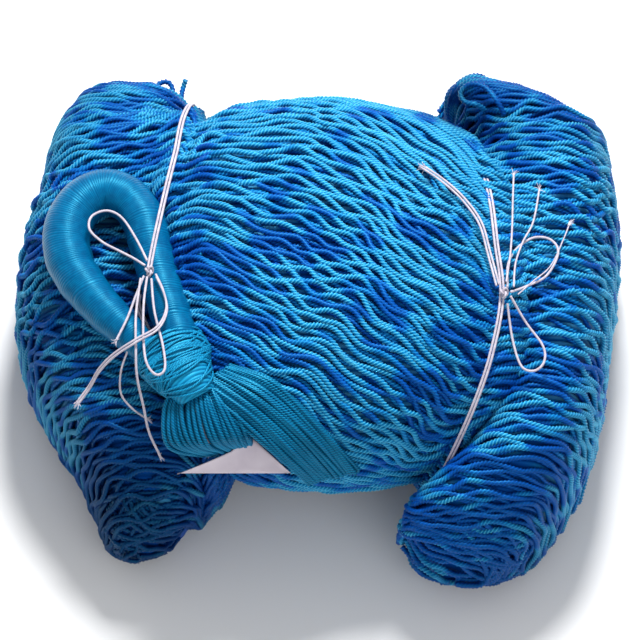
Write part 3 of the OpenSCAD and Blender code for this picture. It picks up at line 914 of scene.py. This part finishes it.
def tone_at(points, cord):
    """Dye of a cord along its length, from 0 for cyan to 1 for royal, with painted shade added as royal on
    the front lobes and at the back ends of the folds.
    """
    bias = np.zeros(len(points))
    for x, y, reach, weight in DYE_AND_SHADE:
        away = ((points[:, 0] - x) ** 2 + (points[:, 1] - y) ** 2) / reach**2
        bias = bias + weight * np.exp(-away)
    own = waves(1000 + cord, 32, 5)(points) * 0.3
    value = 0.3 + bias + own + 0.18 * DYE_WIDE(points) + 0.18 * DYE_FINE(points)
    return ease((value - 0.12) / 0.62)


# Painted shade in hollows where little light reaches: [x, y, z, reach, weight]
SHADE = [
    [60, 98, 92, 17, 0.85], [-52, 98, 84, 12, 0.7], [-90, -100, 50, 48, 0.95], [90, -112, 40, 36, 0.3],
    [-95, 115, 80, 36, 0.35], [100, 110, 90, 42, 0.4], [-135, -20, 60, 38, 0.35],
]


def shade_at(points):
    """Painted shade along a cord: darker low down, and in the hollows."""
    dark = 0.5 * ease((50 - points[:, 2]) / 52)
    for x, y, z, reach, weight in SHADE:
        away = np.sum((points - np.array([x, y, z])) ** 2, -1) / reach**2
        dark = dark + weight * np.exp(-away)
    return np.clip(dark, 0, 0.9)


# A piece of net takes no more cords once it has more triangles than this
NET_FACE_LIMIT = 179000
# Length of one full twist of a twine, and how deep its grooves are as a share of its radius
TWIST = 5.4
TWINE_GROOVE = 0.36
# How far the outer cords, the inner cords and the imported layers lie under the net's surface
OUTER_INSET = 1.6
END_INSET = 2.8
INNER_INSET = 4.0
UNDER_INSET = 6.4
# Distance between the rings of an outer and of an inner cord
OUTER_STEP = 0.75
INNER_STEP = 1.15


def net_pieces(name, paths, normals, node, step, depth, seed, royal=0.0):
    """Twisted twines along paths, gathered into pieces of a fair size. Each cord carries painted shade: at
    least the given share, more low down and in hollows.
    """
    rng = np.random.default_rng(seed + 50)
    batches = [TubeSet()]
    for cord, (path, normal) in enumerate(zip(paths, normals)):
        if batches[-1].faces() > NET_FACE_LIMIT:
            batches.append(TubeSet())
        p, n = even(path, step, normal)
        size = TWINE / 2 * rng.uniform(0.94, 1.05)
        p[:, 2] = np.maximum(p[:, 2], size)
        rings, groove = twist_rings(p, n, size, TWIST, rng.uniform(0, 6), TWINE_GROOVE)
        tone = np.clip(tone_at(p, cord + seed) + royal, 0, 1)[:, None] + 0 * groove
        # Painted shade, for the material to darken the cord with
        shade_paint = np.maximum(shade_at(p), depth)[:, None] + 0 * groove
        batches[-1].add(rings, tone=tone, groove=groove, depth=shade_paint)
    for number, tubes in enumerate(batches, 1):
        put(tubes.build(f"{name}_{number}", NET), "bundle", node)


# Points, width and height of one ridge of a packed layer
PER_RIDGE = 4
RIDGE_WIDTH = 3.2
RIDGE_HEIGHT = 1.5


def ridge(count):
    """Heights of ridges side by side, PER_RIDGE points to each."""
    return np.abs(np.sin(math.pi * np.arange(count) / PER_RIDGE))


def hollows(count):
    """1 in the hollow between two ridges and 0 elsewhere."""
    return (np.arange(count) % PER_RIDGE == 0).astype(float)


def ridged_body(name, points, node, groove, dye, depth=0.25):
    """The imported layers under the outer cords: a closed skin ridged like cords side by side.
    points is (around, along, 3), closed round the first axis."""
    grid = points.transpose(1, 0, 2)
    tubes = TubeSet()
    # Coloured with the shaded twine and an even painted shade
    tubes.add(grid, tone=np.stack([tone_at(row, dye) for row in grid]),
              groove=np.broadcast_to(groove, grid.shape[:2]), depth=np.full(grid.shape[:2], depth))
    put(tubes.build(name, NET_UNDER), "bundle", node)


def belly_under():
    count = PER_RIDGE * 150
    angle = np.interp(np.arange(count) / count * GIRTH, GIRTH_AT, GIRTH_ANGLE)[:, None]
    s = np.linspace(-BELLY_TURN, 1 + BELLY_TURN, 56)[None]
    inset = UNDER_INSET - RIDGE_HEIGHT * ridge(count)[:, None]
    skin = belly_point(s + 0 * angle, angle + 0 * s, inset + 0 * s)
    ridged_body("wrap_under", skin, "belly_wrap", hollows(count), 7)


def fold_under(name, rows, node):
    angle = np.linspace(0, FULL_TURN, 72, endpoint=False)[:, None]
    first, last = rows[0][0] + 5.5, rows[-1][0] - 5.5
    count = int((last - first) / RIDGE_WIDTH) * PER_RIDGE + 1
    y = np.linspace(first, last, count)[None]
    inset = UNDER_INSET - RIDGE_HEIGHT * ridge(count)[None]
    skin = fold_point(rows, y + 0 * angle, angle + 0 * y, inset + 0 * angle)
    ridged_body(name, skin, node, hollows(count)[:, None], 9)


def wrap_net():
    points, normals = belly_lines(136, OUTER_INSET, 0.0)
    woven = weave(points, normals, 0.65, 25, 100, cyclic=True)
    net_pieces("wrap_net", woven, normals, "belly_wrap", OUTER_STEP, 0, 0)
    points, normals = belly_lines(110, INNER_INSET, 0.4)
    woven = weave(points, normals, 0.4, 34, 130, cyclic=True)
    net_pieces("wrap_net_inner", woven, normals, "belly_wrap", INNER_STEP, 0.05, 400, 0.45)


def roll_net(side, rows, neck, seed):
    """The cords of one side fold: over it, under those, and across its two blunt ends."""
    node = f"{side}_fold"
    points, normals = fold_lines(rows, neck, 82, OUTER_INSET, seed, 0.5)
    woven = weave(points, normals, 0.7, 24, seed)
    net_pieces(f"{side}_roll_net", woven, normals, node, OUTER_STEP, 0, seed)
    points, normals = fold_lines(rows, neck, 66, INNER_INSET, seed + 9, 0.2)
    woven = weave(points, normals, 0.4, 32, seed + 30)
    net_pieces(f"{side}_roll_net_inner", woven, normals, node, INNER_STEP, 0.05, seed + 500, 0.45)
    for end, front, count, tilt in (("front", True, 17, -0.45), ("back", False, 24, 0.3)):
        points, normals = end_lines(rows, front, count, tilt, END_INSET)
        woven = weave(points, normals, 0.45, 26, seed + 60 + count)
        net_pieces(f"{side}_roll_{end}", woven, normals, node, OUTER_STEP, 0.1,
                   seed + 700 + count, 0.15)


belly_under()
fold_under("left_roll_under", LEFT_STATIONS, "left_fold")
fold_under("right_roll_under", RIGHT_STATIONS, "right_fold")
wrap_net()
roll_net("left", LEFT_STATIONS, LEFT_NECK, 200)
roll_net("right", RIGHT_STATIONS, RIGHT_NECK, 300)


# ---- Edge cords ---------------------------------------------------------------------

SELVAGE_ROUTE = [
    [-53, 72, 109], [-58, 60, 110], [-55, 50, 114], [-59, 38, 113], [-56, 26, 117],
    [-58, 14, 115], [-54, 2, 117], [-55, -10, 112], [-49, -22, 114], [-48, -33, 110],
]
EDGE_LOOP_ROUTE = [
    [88, 89, 98.5], [85, 93, 103], [79, 100.5, 104], [72, 103, 102.5], [67.5, 100, 100],
    [69.5, 95.5, 99], [75, 93.5, 100], [79, 93, 96],
]
LEFT_CURL_ROUTE = [
    [-77, 109, 78], [-76, 115, 78], [-73, 118.5, 77], [-69.5, 118, 76], [-68, 113, 75], [-68, 107, 74],
]
LEFT_TUFT_ROUTE = [[-64.5, 107, 74], [-64, 113, 75], [-63, 117, 76], [-62, 119, 78]]
EDGE_SEED = 900


def edge_twine(name, route, node):
    path = spline(route, 12)
    up = np.broadcast_to(np.array([0.1, 0.1, 1.0]), path.shape)
    net_pieces(name, [path], [up], node, OUTER_STEP, 0, EDGE_SEED)


edge_twine("selvage", SELVAGE_ROUTE, "selvage_cord")
edge_twine("edge_curl", EDGE_LOOP_ROUTE, "edge_loop")
edge_twine("left_curl", LEFT_CURL_ROUTE, "left_fold")
edge_twine("left_tuft", LEFT_TUFT_ROUTE, "left_fold")


# ---- Hanging eye --------------------------------------------------------------------

EYE_ROUTE = [
    [-59, -50, 110], [-64, -36, 110], [-69, -20, 110], [-73.5, -4, 110], [-77.5, 12, 110],
    [-81, 26, 110], [-88, 37, 109.5], [-98, 42, 109], [-108, 38, 108.5], [-115, 28, 108],
    [-117, 15, 108], [-114, 2, 108], [-107, -10, 108.4], [-98, -22, 109], [-88, -33, 109.6],
    [-79, -43, 110],
]
EYE_STATIONS = [[0, 0.72], [0.12, 0.98], [0.2, 1], [0.86, 1], [0.94, 0.86], [1, 0.68]]
EYE_CORE_R = 7.6
EYE_R = 9.6
INNER_CORE_R = 6.6
INNER_EYE_R = EYE_R - 0.6
UP = (0, 0, 1)
INNER_EYE_ROUTE = [
    [-6, 6, 66], [8, 8, 66], [22, 12, 66], [34, 20, 66], [42, 30, 66], [40, 42, 66],
    [30, 48, 66], [18, 46, 66], [6, 38, 66], [-4, 28, 66],
]
# Distance between two turns of the whipping, and how far each stands out
THREAD_PITCH = 1.1
THREAD_RISE = 0.28


def whipped_tube(name, route, stations, radius, node, body, step, sides, seed):
    """A cord bunch closely wound with thread: every turn is a ridge, none quite like the next."""
    path = even(spline(route, 16), step)[0]
    at = lengths(path) / lengths(path)[-1]
    full = radius * row_values(stations, at)[:, 0]
    around = np.arange(sides) * FULL_TURN / sides
    uneven = waves(seed, 9)(path) * 0.3 + waves(seed + 1, 3.5)(path) * 0.1
    slant = 1.3 * np.sin(around + 0.7) + 0.25 * np.sin(3 * around)
    turn = (lengths(path) / THREAD_PITCH + uneven)[:, None] + around / FULL_TURN + slant
    hump = np.abs(np.sin(math.pi * turn))
    r = full[:, None] - THREAD_RISE + THREAD_RISE * hump ** 0.6
    r = r + 0.14 * waves(seed + 2, 14)(path)[:, None]
    tubes = TubeSet()
    tubes.add(rings_round(path, path_frames(path, UP), r, r, around),
              groove=np.clip(1.1 - 1.7 * hump, 0, 1), depth=np.zeros(hump.shape))
    put(tubes.build(name, WHIPPING), body, node)


def widths_along(path, widths):
    """Half widths given at equal steps, read at each point of a path."""
    return np.interp(lengths(path) / lengths(path)[-1], np.linspace(0, 1, len(widths)), widths)


def cord_bunch(name, route, width, height, node, body):
    """A bunch of parallel fine cords with the outline of an ellipse."""
    path = even(spline(route, 12), 1.2)[0]
    w = widths_along(path, width)
    h = widths_along(path, height)
    sides = 18 * PER_RIDGE
    ridges = ridge(sides)
    r = 1 - 0.1 * (1 - ridges)
    turn = np.arange(sides) * FULL_TURN / sides + 0.35 * waves(len(name), 30)(path)[:, None]
    rings = rings_round(path, path_frames(path, UP), w[:, None] * r, h[:, None] * r, turn)
    tubes = TubeSet()
    tubes.add(rings, groove=np.broadcast_to(1 - ridges, turn.shape), depth=np.zeros(turn.shape))
    put(tubes.build(name, ARM), body, node)


EYE_CORE = [EYE_CORE_R * v for v in row_values(EYE_STATIONS, np.linspace(0, 1, 25))[:, 0]]
whipped_tube("eye_whipped", EYE_ROUTE, EYE_STATIONS, EYE_R, "eye_whipping", "eye", 0.22, 48, 31)
cord_bunch("eye_strands", EYE_ROUTE, EYE_CORE, EYE_CORE, "eye_core", "eye")
whipped_tube("inner_eye_whipped", INNER_EYE_ROUTE, [[0, 1], [1, 1]], INNER_EYE_R,
             "inner_eye_whipping", "bundle", 0.5, 24, 35)
cord_bunch("inner_eye_strands", INNER_EYE_ROUTE, [INNER_CORE_R], [INNER_CORE_R], "inner_eye_core", "bundle")
cord_bunch("inner_throat_wrap", [[-4, 16, 66], [-10, 14, 66], [-18, 10, 66], [-24, 6, 66]],
           [16, 17, 13, 9], [9.5, 9.8, 9.4, 8], "inner_throat", "bundle")
cord_bunch("inner_arm_bunch", [[-24.5, 6, 66], [-30, 0, 66], [-34, -14, 66], [-30, -34, 66],
                               [-16, -46, 66]],
           [8, 12, 16, 14, 8], [7, 7.5, 7.5, 7, 6], "inner_arm_cords", "bundle")


# ---- Throat and arm cords -----------------------------------------------------------

THROAT_ROUTE = [
    [-71.5, -37, 110], [-70, -40, 110], [-66.5, -46, 110], [-63, -53, 109.5], [-58.5, -60, 108],
    [-55.5, -65, 106],
]
THROAT_W = [15, 17, 16.5, 14, 11.5, 9]
THROAT_H = [8.6, 9.4, 9.6, 9.4, 8.6, 7]
THROAT_THREAD_R = 0.62
THROAT_TWIST = 5.0


def throat_thread(tubes, path, frames, w, h, rng, number):
    """One slanting turn round the throat. Every other one leans the other way."""
    lean = (1 if number % 2 else -1) * rng.uniform(3.5, 7.5)
    along = lengths(path)
    start = rng.uniform(abs(lean), along[-1] - abs(lean))
    theta = np.linspace(0, FULL_TURN, 73)
    here = np.clip(start + lean * np.sin(theta + rng.uniform(-0.3, 0.3)), 0, along[-1])

    def read(values):
        return np.stack([np.interp(here, along, c) for c in values.T], -1)

    out = 1 + 0.025 * rng.uniform(0.6, 1.6)
    wide = np.interp(here, along, w) * out + 0.3
    tall = np.interp(here, along, h) * out + 0.3
    centre = read(path)
    loop = (centre + (wide * np.cos(theta))[:, None] * read(frames[0])
            + (tall * np.sin(theta))[:, None] * read(frames[1]))
    rings, groove = twist_rings(loop, unit(loop - centre), THROAT_THREAD_R, THROAT_TWIST, number, 0.12)
    tubes.add(rings, groove=0.45 * groove, depth=np.zeros(groove.shape))


def throat():
    """Crossed turns of thread that grip both legs of the eye."""
    path = even(spline(THROAT_ROUTE, 12), 0.5)[0]
    w = widths_along(path, THROAT_W)
    h = widths_along(path, THROAT_H)
    frames = path_frames(path, UP)
    around = np.arange(72) * FULL_TURN / 72
    cross = np.abs(np.sin(math.pi * (lengths(path)[:, None] / 1.7 + 2.2 * np.sin(around))))
    r = 0.95 + 0.05 * cross
    tubes = TubeSet()
    tubes.add(rings_round(path, frames, w[:, None] * r, h[:, None] * r, around),
              groove=0.6 * (1 - cross), depth=np.zeros(cross.shape))
    rng = np.random.default_rng(77)
    for number in range(30):
        throat_thread(tubes, path, frames, w, h, rng, number)
    put(tubes.build("throat_wrap", ARM), "eye", "throat_seizing")


throat()


# Length of one full twist of a fan cord
FINE_TWIST = 4.4


def fan_cords(name, node, edges, count, bulge, seed):
    """Fine cords that leave the throat side by side and spread over the front of the wrap.
    edges holds four pairs of points, which the bunch's two edges pass through in turn."""
    rng = np.random.default_rng(seed)
    tubes = TubeSet()
    for layer in range(2):
        for i in range(count):
            f = (i + 0.5 * layer) / (count - 0.5)
            keys = []
            for (a, b), arch in zip(edges, (0.4, 1.0, 1.0, 0.6)):
                point = np.array(a) * (1 - f) + np.array(b) * f
                crown = math.sin(math.pi * f) * bulge * arch
                keys.append(point + np.array([0, -0.5, 0.86]) * (crown - layer * 1.6)
                            + rng.normal(size=3) * 0.5)
            path = even(spline(keys, 14), 0.6)[0]
            up = np.array([0.05, -0.6, 0.8])
            rings, groove = twist_rings(path, up, FINE / 2, FINE_TWIST, rng.uniform(0, 6), TWINE_GROOVE)
            # The lower layer gets painted shade
            tubes.add(rings, groove=groove, depth=np.full(groove.shape, 0.2 * layer))
    put(tubes.build(name, ARM), "bundle", node)


LEFT_FAN = [
    ([-63, -55, 107], [-47, -61, 108]), ([-71, -69, 103], [-39, -70, 106]),
    ([-69, -84, 95], [-32, -81, 98]), ([-52, -82, 80], [-31, -79, 84]),
]
RIGHT_FAN = [
    ([-56, -60, 107], [-40, -51, 111]), ([-35, -77, 102], [-20, -60, 113]),
    ([-18, -88, 91], [3, -78, 98]), ([-4, -93, 73], [20, -87, 74]),
]
fan_cords("arm_bunch_left", "arm_cords_left", LEFT_FAN, 15, 3.5, 41)
fan_cords("arm_bunch_right", "arm_cords_right", RIGHT_FAN, 17, 2.0, 42)


# ---- Tag ----------------------------------------------------------------------------

# A point on the line of the card's crease, at its foot, and the slope at which it rises
TAG_FOOT = [0, -89, 76.0]
TAG_TILT = math.radians(50)
TAG_LEFT, TAG_RIGHT = -65, -12
# The card's upper edge: places along it, and how far up the card each one lies
TAG_CROWN_X = [TAG_LEFT, -40, -31.5, TAG_RIGHT]
TAG_CROWN_H = [0, 11.5, 19.5, 0]
TAG_CELLS = 14
TAG_ROWS = 10
TAG_THICK = 0.6


def tag_points():
    """Both faces of the card, row by row from its foot, with a slight curl."""
    t = np.linspace(0, 1, TAG_CELLS)
    across = [0, 0.46, 0.62, 1]
    foot = TAG_LEFT * (1 - t) + TAG_RIGHT * t
    crown_x = np.interp(t, across, TAG_CROWN_X)
    crown_h = np.interp(t, across, TAG_CROWN_H)
    verts = []
    for lift in (0.0, TAG_THICK):
        for r in np.linspace(0, 1, TAG_ROWS):
            for k in range(TAG_CELLS):
                x = foot[k] * (1 - r) + crown_x[k] * r
                up = crown_h[k] * r
                out = lift + (0.9 * math.sin(x * 0.09) * r + 1.2 * r * r)
                verts.append([x, up * math.cos(TAG_TILT) - out * math.sin(TAG_TILT),
                              up * math.sin(TAG_TILT) + out * math.cos(TAG_TILT)])
    return np.array(verts) + np.array(TAG_FOOT)


def tag():
    """The card: a leaf that leans on the wrap, with its crease at the foot."""
    verts = tag_points()
    sheet = TAG_CELLS * TAG_ROWS
    quads = []
    for r in range(TAG_ROWS - 1):
        for k in range(TAG_CELLS - 1):
            a = r * TAG_CELLS + k
            quads.append([a, a + TAG_CELLS, a + TAG_CELLS + 1, a + 1])
            b = a + sheet
            quads.append([b, b + 1, b + TAG_CELLS + 1, b + TAG_CELLS])
    rim = list(range(TAG_CELLS)) + [r * TAG_CELLS + TAG_CELLS - 1 for r in range(1, TAG_ROWS)]
    rim += [(TAG_ROWS - 1) * TAG_CELLS + k for k in range(TAG_CELLS - 2, -1, -1)]
    rim += [r * TAG_CELLS for r in range(TAG_ROWS - 2, 0, -1)]
    for a, b in zip(rim, rim[1:] + rim[:1]):
        quads.append([a, b, b + sheet, a + sheet])
    quads = np.array(quads)
    corner = verts[quads.ravel()]
    uvs = np.stack([(corner[:, 0] + 66) / 110, (corner[:, 2] - 70) / 40], -1)
    put(quad_mesh("tag_leaf", verts, quads, [], uvs, {}, CARD), "tag", "paper_tag")


tag()


# ---- Inner packs --------------------------------------------------------------------

def inner_pack(name, node):
    """A flat pack of net inside the wrap, ridged like cords side by side."""
    low, high = (np.array(c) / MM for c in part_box(node))
    mid, half = (low + high) / 2, (high - low) / 2
    count = PER_RIDGE * int(math.pi * (half[1] + half[2]) / RIDGE_WIDTH)
    angle = np.arange(count) / count * FULL_TURN
    r = 1 - 0.03 * (1 - ridge(count))
    x = np.linspace(low[0], high[0], 12)
    y = mid[1] + half[1] * r * signed_pow(np.cos(angle), 0.5)
    z = mid[2] + half[2] * r * signed_pow(np.sin(angle), 0.5)
    skin = np.stack([np.broadcast_to(x, (count, 12)), np.repeat(y[:, None], 12, 1),
                     np.repeat(z[:, None], 12, 1)], -1)
    # Darkened with painted shade
    ridged_body(name, skin, node, hollows(count), 7, 0.3)


inner_pack("upper_pack", "core_fold_upper")
inner_pack("lower_pack", "core_fold_lower")


# ---- Floor and light ----------------------------------------------------------------

def make_floor():
    mesh = bpy.data.meshes.new("floor")
    size = 6.0
    mesh.from_pydata([(-size, -size, 0), (size, -size, 0), (size, size, 0), (-size, size, 0)], [],
                     [(0, 1, 2, 3)])
    floor = bpy.data.objects.new("floor", mesh)
    bpy.context.scene.collection.objects.link(floor)
    n = Nodes("floor_paper")
    base = n.ramp(n.noise(3, 2), [(0.3, (0.86, 0.86, 0.86, 1)), (0.7, (0.9, 0.9, 0.9, 1))])
    floor.data.materials.append(n.finish(base, 0.8))


def area_light(name, place, aim, size, power):
    data = bpy.data.lights.new(name, "AREA")
    data.shape = "DISK"
    data.size = size
    data.energy = power
    lamp = bpy.data.objects.new(name, data)
    bpy.context.scene.collection.objects.link(lamp)
    lamp.location = place
    lamp.rotation_euler = (Vector(aim) - Vector(place)).to_track_quat("-Z", "Y").to_euler()


def make_light():
    world = bpy.data.worlds.new("studio")
    world.use_nodes = True
    back = world.node_tree.nodes["Background"]
    back.inputs["Color"].default_value = (0.95, 0.97, 1.0, 1)
    back.inputs["Strength"].default_value = 0.55
    bpy.context.scene.world = world
    bpy.context.scene.view_settings.view_transform = "Standard"
    area_light("key", (0.08, 0.7, 1.2), (0, 0, 0.06), 0.35, 26)
    area_light("front", (0.5, -1.0, 0.9), (0, 0, 0.05), 1.0, 3)


make_floor()
make_light()
